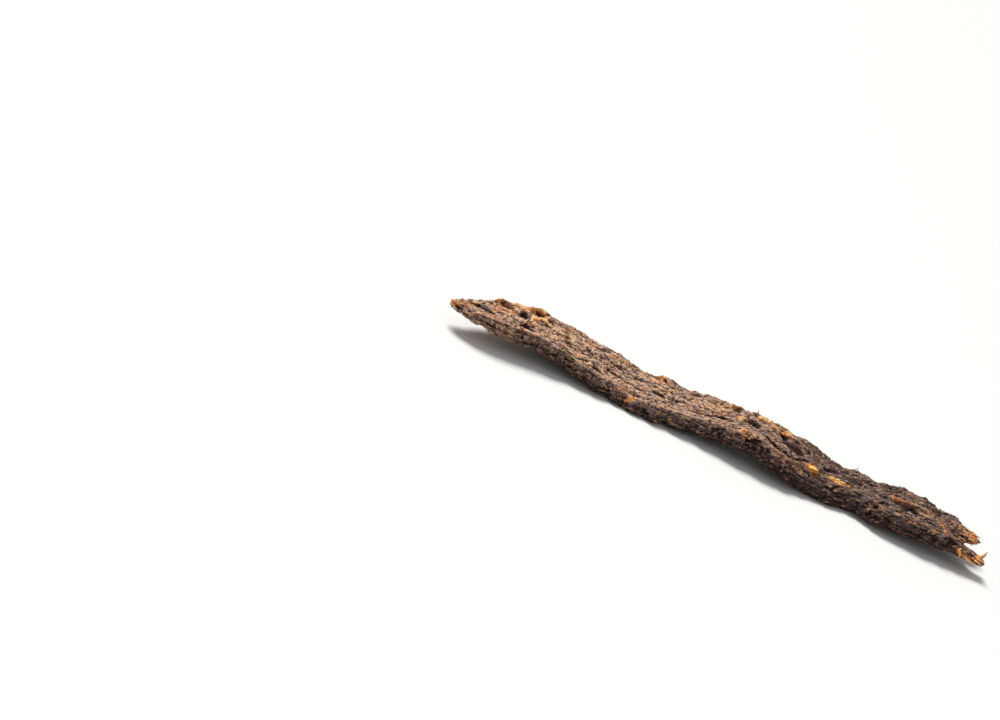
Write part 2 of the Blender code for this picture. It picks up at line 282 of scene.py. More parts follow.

# The near side, its slope and the underside get painted shade, less near the tip and at the
# torn end. The foot gets painted shadow, darkest in the strip's middle, between two pairs of x
SIDE_SHADE = 0.72
SIDE_SHADE_EDGE = (0.6, 0.8)
SIDE_SHADE_TIP = (0.3, -66.0, -42.0)
END_LIGHTNESS = 0.6
FOOT_SHADE = 0.35
MIDDLE_FOOT_SHADE = 0.6
MIDDLE_FROM = (-60.0, -35.0)
MIDDLE_TO = (12.0, 40.0)

# Grain of the meat: turn from the strip's axis, and the bed that bends it
GRAIN_TURN = math.radians(4.0)
BED = 5.0
BED_SHIFT = 1.0
FINE_DRIFT = (0.2, 1.3)

# Flakes of the meat: size along and across the grain, step in height, lean, depth of the gaps
# and sample. Beyond LONG_FROM they are longer, because lengths there count as LONG_SHARE
FLAKES = (
    (3.2, 1.3, 0.17, 0.15, 0.16, Vector()),
    (1.2, 0.75, 0.17, 0.12, 0.15, Vector((31, 17, 5))),
)
LOT_SHARES = (0.6, 0.4)
LOT_SCALE = 7.31
GAP_SHARPNESS = 3.4
GAP_LEVEL = 0.75
LONG_FROM = 32.0
LONG_SHARE = 0.50
SIDE_RELIEF = 0.60
SIDE_FINENESS = 1.9
SLEEKNESS = 0.7

# Long creases between the fibres: size along and across, width, depth, and size, sample and
# limits of the patches that have them
CREASE = (8.0, 1.7, 0.13, 0.55)
CREASE_PATCH = (6.0, Vector((7.0, 1.0, 3.0)), -0.1, 0.25)
# How much painted shade the long creases get
CREASE_SHADE = 0.8

# Low folds: size along and across, and height
FOLD = (5.0, 1.5, 0.14)
FOLD_SCALE = 1.7

# How far the shade of a point looks around it for hollows and crests, in steps of the mesh
SHADE_STEPS = 10
SHADE_RANGE = 0.12

# Clusters of golden and orange crumbs: x, y, spread along and across, number, half length,
# tint and share of gold
CLUSTERS = (
    (-74, -8.8, 0.6, 0.9, 8, 0.4, 0.66, 0.8), (-64.3, -9.9, 0.3, 0.3, 3, 0.4, 0.9, 1),
    (-52, 1.1, 0.4, 0.4, 4, 0.4, 0.85, 1), (-44.5, 8.6, 0.5, 0.5, 6, 0.45, 0.8, 1),
    (-41.3, 10.9, 0.5, 0.5, 6, 0.45, 0.8, 1), (-27.5, -7.4, 0.5, 0.5, 7, 0.5, 0.62, 1),
    (-24.1, -8.8, 0.7, 0.5, 9, 0.55, 0.62, 1), (-18, 13.2, 1, 0.9, 14, 0.6, 0.6, 1),
    (-15.8, 11.4, 0.5, 0.5, 6, 0.4, 0.9, 1), (-18.9, 9.4, 0.8, 0.7, 9, 0.5, 0.46, 1),
    (-28.1, -2.2, 0.4, 0.4, 5, 0.5, 0.95, 0.8), (-5.2, -6, 0.3, 0.3, 3, 0.4, 0.95, 1),
    (-2.5, 4.5, 3.6, 2.2, 30, 0.34, 0.86, 0.9), (-13.8, -2.5, 0.3, 0.3, 4, 0.4, 0.9, 0.9),
    (-1.2, 2, 0.6, 1.3, 13, 0.42, 0.86, 0.9), (2.1, 10.2, 1.2, 0.9, 14, 0.6, 0.6, 1),
    (4.4, 3.3, 0.9, 1.2, 18, 0.5, 0.86, 0.9), (10.6, 9, 2.2, 1, 12, 0.8, 0.96, 1),
    (15.8, 8.8, 2.8, 0.9, 12, 0.8, 0.84, 1), (6, -6.6, 1.9, 1.2, 18, 0.55, 0.66, 0.9),
    (5.6, -7.9, 0.5, 0.3, 8, 0.5, 0.66, 1), (7.6, -7, 0.3, 0.3, 5, 0.5, 0.95, 1),
    (33, 0.6, 1.7, 0.9, 40, 0.8, 0.96, 1), (31.2, -1.4, 1.4, 0.9, 12, 0.7, 0.45, 1),
    (33.6, -3.3, 0.3, 0.3, 4, 0.4, 0.95, 1), (31.2, -6.6, 0.3, 0.3, 3, 0.35, 0.6, 1),
    (22.2, -7.2, 1.6, 0.7, 14, 0.5, 0.6, 0.4), (49, 4.3, 1.1, 0.5, 9, 0.7, 0.5, 1),
    (50, -5.3, 0.7, 0.4, 6, 0.5, 0.55, 1), (53, 5.8, 3.2, 0.5, 16, 0.9, 0.46, 0.5),
    (58.9, 5.7, 1.2, 0.6, 7, 0.8, 0.42, 0.9), (60.3, 3.4, 1.2, 0.5, 6, 0.8, 0.42, 0.9),
    (62.3, 0, 1.2, 0.4, 9, 0.8, 0.5, 1), (67.4, 3.6, 1.2, 1.2, 9, 0.8, 0.55, 0.9),
    (59.6, -6.3, 0.6, 0.3, 7, 0.5, 0.7, 1), (57.6, -5.8, 0.4, 0.3, 5, 0.5, 0.62, 1),
    (63.4, -4.7, 0.8, 0.3, 6, 0.6, 0.5, 1), (44.9, -5.7, 0.3, 0.3, 4, 0.45, 0.85, 1),
    (42.3, -6.5, 0.4, 0.3, 4, 0.45, 0.7, 1), (53.2, -6.7, 0.6, 0.3, 6, 0.5, 0.75, 1),
    (54.4, -7.3, 0.4, 0.3, 5, 0.5, 0.66, 1), (71, 3.2, 1.1, 1.8, 30, 0.8, 0.76, 1),
    (71, -7.6, 2.8, 0.4, 54, 0.6, 0.92, 1),
)

# Golden flecks of fat: x, y, half length, half width, half height, turn, tilt towards the
# near side, lift and tint
FLECKS = (
    (25.2, -2.9, 2.3, 1.7, 0.3, -14, 12, 0.02, 0.42),
    (25.5, -2.9, 1.7, 1.05, 0.36, -16, -14, 0.3, 1.25),
    (33, 0.2, 2.7, 1.4, 0.3, -6, 12, 0, 0.4),
    (31.6, 0.5, 1, 0.55, 0.36, 14, -6, 0.26, 0.95),
    (33.2, 0.9, 0.8, 0.5, 0.34, -20, -6, 0.3, 1.1),
    (34.6, 0.3, 1.1, 0.55, 0.34, -8, -6, 0.22, 0.9),
    (32.8, -0.7, 0.8, 0.4, 0.25, 10, 8, 0.15, 0.6),
    (36.2, -0.3, 0.7, 0.35, 0.22, -14, 0, 0.1, 0.6),
)

# Torn fibres, the horn of the near prong and hairs: base, tip, radius, bend, tint and gold
STRANDS = (
    ((70.4, 3.9, 5.7), (73.2, 4, 5.7), 0.42, 0.4, 0.7, 1),
    ((70, 2.6, 5.6), (72.7, 2.7, 5.5), 0.3, 0.4, 0.8, 1),
    ((69.8, 1.4, 5.2), (72.2, 1, 4.9), 0.38, 0.4, 0.74, 1),
    ((70.2, 5, 5.8), (72, 5.4, 5.6), 0.28, 0.3, 0.76, 1),
    ((69.6, 0.9, 4.8), (71.4, 0.3, 4.3), 0.26, 0.2, 0.66, 1),
    ((71.7, -5.2, 3.7), (74.2, -5.2, 6.8), 1, -0.85, 0.66, 1),
    ((72.4, -6.2, 4.3), (74.6, -6.6, 4.3), 0.4, 0.3, 0.8, 1),
    ((72, -7, 3.9), (74.2, -7.5, 3.7), 0.34, 0.3, 0.84, 1),
    ((67.2, -7.4, 4.6), (67.9, -8.9, 3.5), 0.62, 0.5, 0.72, 1),
    ((69.6, -7.6, 3.7), (71.2, -8.2, 3.3), 0.3, 0.3, 0.8, 1),
    ((38.3, 13.4, 4.2), (38.6, 13.4, 5.4), 0.1, 1.5, 0.6, 0.4),
    ((39, -0.7, 4.4), (39.1, -0.9, 5.8), 0.12, 0.8, 0.85, 1),
)


def along(stations, x):
    """Height at x of the smooth curve through the stations."""
    xs = [station[0] for station in stations]
    ys = [station[1] for station in stations]
    last = len(xs) - 1
    i = min(max(bisect_right(xs, x) - 1, 0), last - 1)

    def slope(k):
        low, high = max(k - 1, 0), min(k + 1, last)
        return (ys[high] - ys[low]) / (xs[high] - xs[low])

    span = xs[i + 1] - xs[i]
    t = min(max((x - xs[i]) / span, 0.0), 1.0)
    rest = 1.0 - t
    return (rest * rest * (1.0 + 2.0 * t) * ys[i] + t * t * (3.0 - 2.0 * t) * ys[i + 1]
            + t * rest * rest * span * slope(i) - t * t * rest * span * slope(i + 1))


def smooth_step(low, high, x):
    """Ease from 0 at low to 1 at high."""
    t = min(max((x - low) / (high - low), 0.0), 1.0)
    return t * t * (3.0 - 2.0 * t)


def rounding(distance, width):
    """Fall of a quarter round, from 1 at its edge to 0 at its width."""
    reach = 1.0 - min(max(distance / width, 0.0), 1.0)
    return 1.0 - math.sqrt(1.0 - reach * reach)


def rough(x, y, z, start, octaves=2):
    """Smooth seeded unevenness, about -1 to 1."""
    return noise.fractal(Vector((x, y, z)) + start, 1.0, 2.0, octaves)


def grain(x, y, sample=0.0):
    """Fibrous unevenness of a face."""
    return sum(height * rough(x / run, y / cross, sample, start)
               for run, cross, height, start in GRAIN)


def ragged(x, sample=0.0):
    """How far an edge strays from its smooth outline."""
    run, height, start = EDGE_GRAIN
    return height * rough(x / run, 0.0, sample, start, 4)


def swell(distance, level, bulge):
    """How far a side or an end stands out between its lower and its upper edge."""
    run, rise, height, start = SIDE_GRAIN
    belly = 4.0 * level * (1.0 - level)
    return belly * (bulge + height * rough(distance / run, level / rise, 0.0, start))


def drift(point):
    """A smooth shift of a point, the same in every run, about -1 to 1 along each axis."""
    return Vector([noise.noise(point + start) for start in DRIFT_STARTS])


def wander(x, y):
    """The point that pits and cracks are measured at, so that their rims are uneven."""
    start = Vector((x / WANDER_SIZE, y / WANDER_SIZE, 3.0))
    shift = drift(start) + 0.5 * drift(2.0 * start)
    return x + WANDER * shift.x, y + WANDER * shift.y


def ovals_over(x, y, rows):
    """The rows whose ovals reach over a point: its squared distance from the oval's centre,
    1 on the rim, and what the row holds after the oval's place, half sizes and turn."""
    for cx, cy, half_length, half_width, turn, *rest in rows:
        dx, dy = x - cx, y - cy
        reach = half_length + half_width
        if abs(dx) > reach or abs(dy) > reach:
            continue
        c, s = math.cos(math.radians(turn)), math.sin(math.radians(turn))
        q = ((dx * c + dy * s) / half_length) ** 2 + ((dy * c - dx * s) / half_width) ** 2
        if q < 1.0:
            yield q, rest


def hollows(x, y):
    """How much the pits lower, and the bumps raise, the broad face."""
    depth = 0.0
    for q, (deep,) in ovals_over(x, y, HOLLOWS):
        depth += deep * (1.0 - q) ** (HOLLOW_POWER if deep > 0.0 else BUMP_POWER)
    return -depth


def cracks(x, y):
    """How much the cracks lower the broad face."""
    depth = 0.0
    for x0, y0, x1, y1, half_width, deep in CRACKS:
        if not min(x0, x1) - 2.0 < x < max(x0, x1) + 2.0:
            continue
        run = Vector((x1 - x0, y1 - y0))
        t = min(max(Vector((x - x0, y - y0)).dot(run) / run.length_squared, 0.0), 1.0)
        gap = math.hypot(x - x0 - run.x * t, y - y0 - run.y * t)
        if gap < half_width:
            depth = max(depth, deep * (1.0 - gap / half_width))
    return -depth


def small_pits():
    """Seeded small pits of one face, sorted into bins along the strip."""
    dice = random.Random(SEED)
    bins = {}
    for _ in range(PIT_COUNT):
        x = dice.uniform(-HALF, HALF)
        share = dice.uniform(*PIT_SHARES)
        y = along(NEAR_EDGE, x) + share * (along(FAR_EDGE, x) - along(NEAR_EDGE, x))
        pit = (x, y, dice.uniform(*PIT_LENGTH), dice.uniform(*PIT_WIDTH),
               dice.uniform(-PIT_TURN, PIT_TURN), dice.uniform(*PIT_DEPTH))
        for step in (-1, 0, 1):
            bins.setdefault(int(x // PIT_BIN) + step, []).append(pit)
    return bins


SMALL_PITS = small_pits()


def pitting(x, y):
    """How much the small pits lower a face."""
    depth = 0.0
    for q, (deep,) in ovals_over(x, y, SMALL_PITS.get(int(x // PIT_BIN), ())):
        depth = max(depth, deep * (1.0 - q))
    return -depth


def patch(patches, x, y):
    """How strongly any of the patches shows at a point seen from above, from 0 to 1."""
    most = 0.0
    for q, (strength,) in ovals_over(x, y, patches):
        most = max(most, strength * (1.0 - smooth_step(PATCH_CORE, 1.0, q)))
    return most


def sleekness(x, y):
    """How sleek the face is at a point seen from above, its rise there and its tone."""
    most, rise, tone = 0.0, 0.0, 0.5
    run, cross, sample = SLEEK_GRAIN
    for q, (high, shade, strength) in ovals_over(x, y, SLEEK):
        share = strength * (1.0 - smooth_step(SLEEK_CORE, 1.0, q))
        uneven = 1.0 + noise.noise(Vector((x / run, y / cross, sample)))
        rise += high * uneven * (1.0 - q) ** SLEEK_POWER
        if share > most:
            most, tone = share, shade
    return most, rise, tone


@lru_cache(maxsize=None)
def section(x):
    """Edges, thickness, worn slope, warp, and darkness with painted shade, of the strip at x."""
    near = along(NEAR_EDGE, x) + ragged(x)
    far = along(FAR_EDGE, x) + ragged(x, FAR_SAMPLE)
    return (near, far, along(THICKNESS, x), along(NEAR_SLOPE, x), along(UNDERSIDE, x),
            along(DARKNESS_AND_SHADE, x))


def mark_meat(x, y, level, end, depths, edges, dark):
    """Painted shade of pits and cracks, amber, and darkness with painted shade at a point of the
    strip.

    Depths are those of the hollows, of the small pits and of the cracks a little nearer, and
    edges how far the near and the far edge are and how wide the worn slope is."""
    sunk, pitted, split = depths
    from_near, from_far, slope = edges
    facing_up = smooth_step(*FACE_LEVELS, level)
    wx, wy = wander(x, y)
    # Painted shade in pools of the pits, in hollows and small pits, and in the cracks
    shade_pool = facing_up * patch(SHADE_POOLS, wx, wy - FAR_WALL)
    pit = min(facing_up * max(-sunk - SUNK_FROM, 0.0) - PIT_SHADE * pitted, MOST_PIT_SHADE)
    hollow = max(shade_pool, pit, facing_up * min(-CRACK_SHADE * split, 1.0))
    above_foot = smooth_step(*AMBER_LEVELS, level)
    # Amber patches, a painted amber rim light on the far rim, and the amber torn end
    amber = max(patch(AMBER, wx, wy) * above_foot,
                RIM_LIGHT * rounding(from_far, RIM_LIGHT_WIDTH) * above_foot, END_AMBER * end)
    # Painted shade on the near side, its slope and the underside, less at the tip and torn end
    shaded_side = max(1.0 - smooth_step(SIDE_SHADE_EDGE[0], slope + SIDE_SHADE_EDGE[1], from_near), 1.0 - facing_up)
    least, low, high = SIDE_SHADE_TIP
    shaded_side *= least + (1.0 - least) * smooth_step(low, high, x)
    dark = 1.0 - (1.0 - dark) * (1.0 - SIDE_SHADE * shaded_side * (1.0 - END_LIGHTNESS * end))
    # Painted shadow along the foot, strongest in the strip's middle
    foot_shade = MIDDLE_FOOT_SHADE * smooth_step(*MIDDLE_FROM, x) * (1.0 - smooth_step(*MIDDLE_TO, x))
    foot_shade = (FOOT_SHADE + foot_shade) * (1.0 - smooth_step(*FOOT_LEVELS, level))
    return hollow, amber, 1.0 - (1.0 - dark) * (1.0 - foot_shade)


def place(u, v, w):
    """Put a point of the slab, each of u, v and w from -1 to 1, on the strip.

    Returns the point, the painted shade of its pits and cracks, how amber, dark with painted shade
    and sleek the meat is there, and the tone of its sleek places."""
    x = HALF * u
    share = 0.5 + 0.5 * v * (1.0 + EDGE_CROWDING - EDGE_CROWDING * v * v)
    near, far, thick, slope, under, dark = section(x)
    y = near + share * (far - near)
    from_near, from_far = y - near, far - y
    level = 0.5 + 0.5 * w

    wx, wy = wander(x, y)
    sx, sy = x + CRACK_WANDER * (wx - x), y + CRACK_WANDER * (wy - y)
    sunk = hollows(wx, wy) + cracks(sx, sy)
    pitted = pitting(x + PIT_WANDER * (wx - x), y + PIT_WANDER * (wy - y))
    lip = LIP_HEIGHT * math.exp(-((from_near - slope) / LIP_WIDTH) ** 2)
    top = thick + lip + sunk + grain(x, y)
    sleek, rise, tone = sleekness(x + SLEEK_WANDER * (wx - x), y + SLEEK_WANDER * (wy - y))
    pitted *= 1.0 - sleek
    top = max(top, THINNEST * thick) + pitted + rise
    top -= thick * NEAR_FALL * rounding(from_near, slope)
    top -= thick * FAR_FALL * rounding(from_far, FAR_ROUND)
    bottom = UNDER_GRAIN * grain(x, y, UNDER_SAMPLE) - pitted
    bottom += thick * UNDER_RISE * rounding(min(from_near, from_far), UNDER_ROUND)

    curl = CURL_HEIGHT * math.exp(-((share - CURL_CENTRE) / CURL_SPREAD) ** 2)
    z = under + bottom + level * (top - bottom)
    z += curl * smooth_step(HALF - CURL_REACH, HALF, x)

    forked = smooth_step(HALF - TORN_REACH, HALF, x)
    z += LIFT_HEIGHT * forked * smooth_step(LIFT_FROM, LIFT_TO, share)
    torn = along(TORN_END, share) * forked
    end = smooth_step(HALF - END_REACH[0], HALF - END_REACH[1], x)
    if abs(v) == 1.0:
        y += v * swell(x + SIDE_SAMPLE * v, level, SIDE_BULGE)
    if abs(u) == 1.0:
        x += u * swell(y + SIDE_SAMPLE * u, level, END_BULGE)
    x -= torn
    marks = mark_meat(x, y, level, end, (sunk, pitted, cracks(sx, sy - 0.5 * FAR_WALL)),
                      (from_near, from_far, slope), dark)
    return Vector((x, y, max(z, 0.0))), (*marks, smooth_step(*FACE_LEVELS, level) * sleek, tone)


def relief(point):
    """Fine relief of dried meat: its height, the lot that shades each of its flakes, and
    how deep in a long crease the point is."""
    c, s = math.cos(GRAIN_TURN), math.sin(GRAIN_TURN)
    p = Vector((point.x * c + point.y * s, point.y * c - point.x * s, SIDE_FINENESS * point.z))
    p.x -= (1.0 - LONG_SHARE) * max(p.x - LONG_FROM, 0.0)
    p += BED_SHIFT * drift(point / BED)
    p += FINE_DRIFT[0] * drift(point * FINE_DRIFT[1])
    height, lot = 0.0, 0.0
    for (run, cross, step, lean, gap, start), share in zip(FLAKES, LOT_SHARES):
        q = Vector((p.x / run, p.y / cross, p.z / cross)) + start
        gaps, seeds = noise.voronoi(q)
        own = noise.cell_vector(seeds[0] * LOT_SCALE)
        offset = q - seeds[0]
        crest = min((gaps[1] - gaps[0]) * GAP_SHARPNESS, 1.0)
        height += step * (own.x - 0.5) + gap * (crest - GAP_LEVEL)
        height -= lean * (offset.y * (0.3 + own.y) + 0.5 * offset.x * (own.z - 0.5))
        lot += own.x * share
    run, cross, width, depth = CREASE
    line = abs(noise.noise(Vector((p.x / run, p.y / cross, p.z / cross)))) / width
    size, start, low, high = CREASE_PATCH
    cut = smooth_step(low, high, noise.noise(point / size + start)) * max(1.0 - line, 0.0)
    height -= depth * cut
    run, cross, rise = FOLD
    height += rise * noise.noise(Vector((p.x / run, p.y / cross, p.z / cross)) * FOLD_SCALE)
    return height, lot, cut


def read_rows(items, name, width, kind=float):
    """What all of a mesh's items hold under a name, as rows of that width."""
    values = np.empty(len(items) * width, kind)
    items.foreach_get(name, values)
    return values.reshape(-1, width)


def crest_shares(mesh):
    """For each point, 0 in a narrow hollow, 1 on a crest and 0.5 on a level stretch."""
    points = read_rows(mesh.vertices, "co", 3) / MM
    normals = read_rows(mesh.vertex_normals, "vector", 3)
    ends = read_rows(mesh.edges, "vertices", 2, np.int64)
    count = len(points)
    a, b = ends.T
    degree = np.bincount(ends.ravel(), minlength=count)
    smooth = points.copy()
    for _ in range(SHADE_STEPS):
        for axis in range(3):
            around = np.bincount(a, smooth[b, axis], count)
            around += np.bincount(b, smooth[a, axis], count)
            smooth[:, axis] = 0.5 * smooth[:, axis] + 0.5 * around / degree
    rise = ((points - smooth) * normals).sum(1)
    return 0.5 + 0.5 * np.tanh(rise / SHADE_RANGE)


def slab(segments):
    """A cube from -1 to 1, cut into the given number of steps along each axis."""
    bm = bmesh.new()
    bmesh.ops.create_cube(bm, size=2.0)
    for axis, count in enumerate(segments):
        runs = [e for e in bm.edges if abs(e.verts[0].co[axis] - e.verts[1].co[axis]) > 1e-6]
        bmesh.ops.subdivide_edges(bm, edges=runs, cuts=count - 1)
    return bm


def centre_over_origin(bm):
    """Slide the strip until its outline is centred over the origin. Returns the old centre."""
    middle = Vector()
    for axis in (0, 1):
        values = [vertex.co[axis] for vertex in bm.verts]
        middle[axis] = 0.5 * (min(values) + max(values))
    for vertex in bm.verts:
        vertex.co -= middle
    return middle


def add_object(name, data):
    """A new object in the scene."""
    added = bpy.data.objects.new(name, data)
    bpy.context.scene.collection.objects.link(added)
    return added


def finish_piece(name, mesh, material):
    """Show a mesh as a piece that rides on the strip's body."""
    mesh.materials.append(material)
    piece = add_object(name, mesh)
    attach(piece, BODY)
    return piece


def write_marks(mesh, marks):
    """Keep numbers on a mesh's points, for its material to read."""
    for name, values in marks.items():
        layer = mesh.attributes.new(name, "FLOAT", "POINT")
        layer.data.foreach_set("value", np.asarray(values, np.float32))


def make_meat(material):
    """The strip's body. Returns its mesh, and the point that its centre was moved from."""
    bm = slab(SEGMENTS)
    marks = []
    for vertex in bm.verts:
        vertex.co, mark = place(*vertex.co)
        marks.append(mark)
    middle = centre_over_origin(bm)
    bmesh.ops.recalc_face_normals(bm, faces=bm.faces)
    bmesh.ops.smooth_vert(bm, verts=bm.verts, factor=0.5,
                          use_axis_x=True, use_axis_y=True, use_axis_z=True)
    bm.normal_update()
    reliefs = [relief(vertex.co) for vertex in bm.verts]
    for vertex, (height, lot, cut), mark in zip(bm.verts, reliefs, marks):
        height *= SIDE_RELIEF + (1.0 - SIDE_RELIEF) * abs(vertex.normal.z)
        vertex.co += vertex.normal * height * (1.0 - SLEEKNESS * mark[3])
        vertex.co.z = max(vertex.co.z, 0.0)
    bmesh.ops.scale(bm, vec=(MM, MM, MM), verts=bm.verts)
    mesh = bpy.data.meshes.new("dried_meat")
    bm.to_mesh(mesh)
    bm.free()
    mesh.shade_smooth()
    hollow, amber, dark, sleek, tone = zip(*marks)
    _, lots, cuts = zip(*reliefs)
    # Painted shade in the long creases, except on sleek places
    cuts = CREASE_SHADE * np.array(cuts) * (1.0 - np.array(sleek))
    write_marks(mesh, {"crest": crest_shares(mesh), "lot": lots, "amber": amber, "dark": dark,
                       "hollow": np.maximum(hollow, cuts), "sleek": sleek, "tone": tone})
    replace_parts(finish_piece("dried_meat", mesh, material), NODE)
    return mesh, middle


# Materials

class Value:
    """A shader socket that Python's operators work on."""

    def __init__(self, finish, socket):
        self.finish = finish
        self.socket = socket

    def __add__(self, other):
        return self.finish.maths("ADD", self, other)

    __radd__ = __add__

    def __sub__(self, other):
        return self.finish.maths("SUBTRACT", self, other)

    def __rsub__(self, other):
        return self.finish.maths("SUBTRACT", other, self)

    def __mul__(self, other):
        return self.finish.maths("MULTIPLY", self, other)

    __rmul__ = __mul__


class Finish:
    """A Principled material, built from nodes."""

    def __init__(self, name, **constants):
        self.material = bpy.data.materials.new(name)
        self.material.use_nodes = True
        self.tree = self.material.node_tree
        self.shader = self.tree.nodes["Principled BSDF"]
        for socket, value in constants.items():
            self.shader.inputs[socket.replace("_", " ")].default_value = value

    def node(self, kind, settings, sockets, output=0):
        """A node of that type, with its settings and the values or links of its sockets."""
        node = self.tree.nodes.new(kind)
        for name, value in settings.items():
            if name == "stops":
                self.set_stops(node.color_ramp, value)
            else:
                setattr(node, name, value)
        for key, value in sockets.items():
            self.feed(node.inputs[key], value)
        return Value(self, node.outputs[output])

    @staticmethod
    def set_stops(ramp, stops):
        while len(ramp.elements) < len(stops):
            ramp.elements.new(0.5)
        for element, (position, color) in zip(ramp.elements, stops):
            element.position = position
            element.color = (*color, 1.0)

    def feed(self, socket, value):
        if isinstance(value, Value):
            self.tree.links.new(value.socket, socket)
        else:
            socket.default_value = value

    def drive(self, name, value):
        self.feed(self.shader.inputs[name], value)

    def maths(self, operation, a, b):
        return self.node("ShaderNodeMath", {"operation": operation}, {0: a, 1: b})

    def clamp(self, value):
        return self.node("ShaderNodeClamp", {}, {"Value": value})

    def mark(self, name):
        return self.node("ShaderNodeAttribute", {"attribute_name": name}, {}, "Fac")

    def speckle(self, size, detail=2.0, roughness=0.5):
        """Noise whose grains have the given size along each axis, in millimetres."""
        here = self.node("ShaderNodeTexCoord", {}, {}, "Object")
        steps = tuple(1.0 / (MM * side) for side in size)
        place_at = self.node("ShaderNodeVectorMath", {"operation": "MULTIPLY"},
                             {0: here, 1: steps})
        sockets = {"Vector": place_at, "Scale": 1.0, "Detail": detail, "Roughness": roughness}
        return self.node("ShaderNodeTexNoise", {}, sockets)

    def between(self, value, low, high):
        """0 below low, 1 above high, and a smooth rise between them."""
        settings = {"interpolation_type": "SMOOTHSTEP"}
        return self.node("ShaderNodeMapRange", settings, {"Value": value, 1: low, 2: high})

    def streaks(self, size, width):
        """1 on wandering lines that part grains of the given size, and 0 away from them."""
        away = self.maths("ABSOLUTE", self.speckle(size) - 0.5, 0.0)
        return 1.0 - self.between(away, 0.0, width)

    def ramp(self, value, stops):
        return self.node("ShaderNodeValToRGB", {"stops": stops}, {"Fac": value})

    def blend(self, share, first, second, kind="MIX"):
        """Two colours mixed by a share."""
        settings = {"data_type": "RGBA", "blend_type": kind}
        return self.node("ShaderNodeMix", settings, {0: share, 6: first, 7: second}, 2)

    def stain_and_shade(self, share, color, stain_and_shade):
        """A colour darkened by another colour, by a share: used for real ruddy spots and for
        darker meat with painted shade.
        """
        return self.blend(share, color, self.blend(1.0, color, stain_and_shade, "MULTIPLY"))

    def bump(self, height, strength, distance):
        sockets = {"Height": height, "Strength": strength, "Distance": distance}
        self.drive("Normal", self.node("ShaderNodeBump", {}, sockets))


PLUM_STOPS = (
    (0, (0.015, 0.006, 0.005)),
    (0.2, (0.062, 0.031, 0.025)),
    (0.4, (0.15, 0.098, 0.086)),
    (0.55, (0.268, 0.186, 0.166)),
    (0.7, (0.41, 0.295, 0.266)),
    (0.9, (0.64, 0.48, 0.43)),
)
TAN_STOPS = (
    (0, (0.018, 0.005, 0.002)),
    (0.2, (0.094, 0.035, 0.014)),
    (0.4, (0.26, 0.122, 0.062)),
    (0.55, (0.445, 0.228, 0.12)),
    (0.7, (0.62, 0.358, 0.206)),
    (0.9, (0.89, 0.585, 0.36)),
)
AMBER_STOPS = (
    (0, (0.03, 0.008, 0.003)),
    (0.25, (0.165, 0.042, 0.012)),
    (0.5, (0.5, 0.17, 0.045)),
    (0.7, (0.86, 0.37, 0.125)),
    (0.85, (0.98, 0.52, 0.205)),
    (1, (1, 0.68, 0.3)),
)
FAT_STOPS = (
    (0, (0.3, 0.085, 0.014)),
    (0.4, (0.64, 0.23, 0.035)),
    (0.7, (0.95, 0.42, 0.06)),
    (1, (1, 0.74, 0.2)),
)
# Darker meat and the painted shade of sides, foot, pits and cracks multiply the colour by this
DARK_AND_SHADE_TINT = (0.078, 0.038, 0.027, 1.0)
BLUSH = (1.0, 0.76, 0.78, 1.0)

# Sizes of the colour's grain along, across and up, in millimetres
MOTTLE = (9.0, 6.0, 4.0)
SHORT_FIBRES = (1.6, 1.0, 0.38)
LONG_FIBRES = (3.8, 0.9, 0.34)
GRIT = (0.6, 0.7, 0.26)
SEAMS = (8.0, 2.4, 0.8)
HUES = (1.7, 2.0, 0.75)
GLINTS = (0.9, 1.1, 0.45)
RUDDY_SPOTS = (2.4, 1.8, 0.9)
YELLOW_DOTS = (0.8, 0.9, 0.38)
FINE_GRAIN = (1.0, 0.5, 0.3)
CRUMB_GRAIN = (0.6, 0.3, 0.3)
CRUMB_HUES = (1.6, 0.8, 0.8)


def meat_color(finish, tone, warmth, gold, golden=AMBER_STOPS):
    """Dried meat from near-black to pale, between plum and tan, with some of it golden."""
    plain = finish.blend(warmth, finish.ramp(tone, PLUM_STOPS), finish.ramp(tone, TAN_STOPS))
    return finish.blend(gold, plain, finish.ramp(tone, golden))


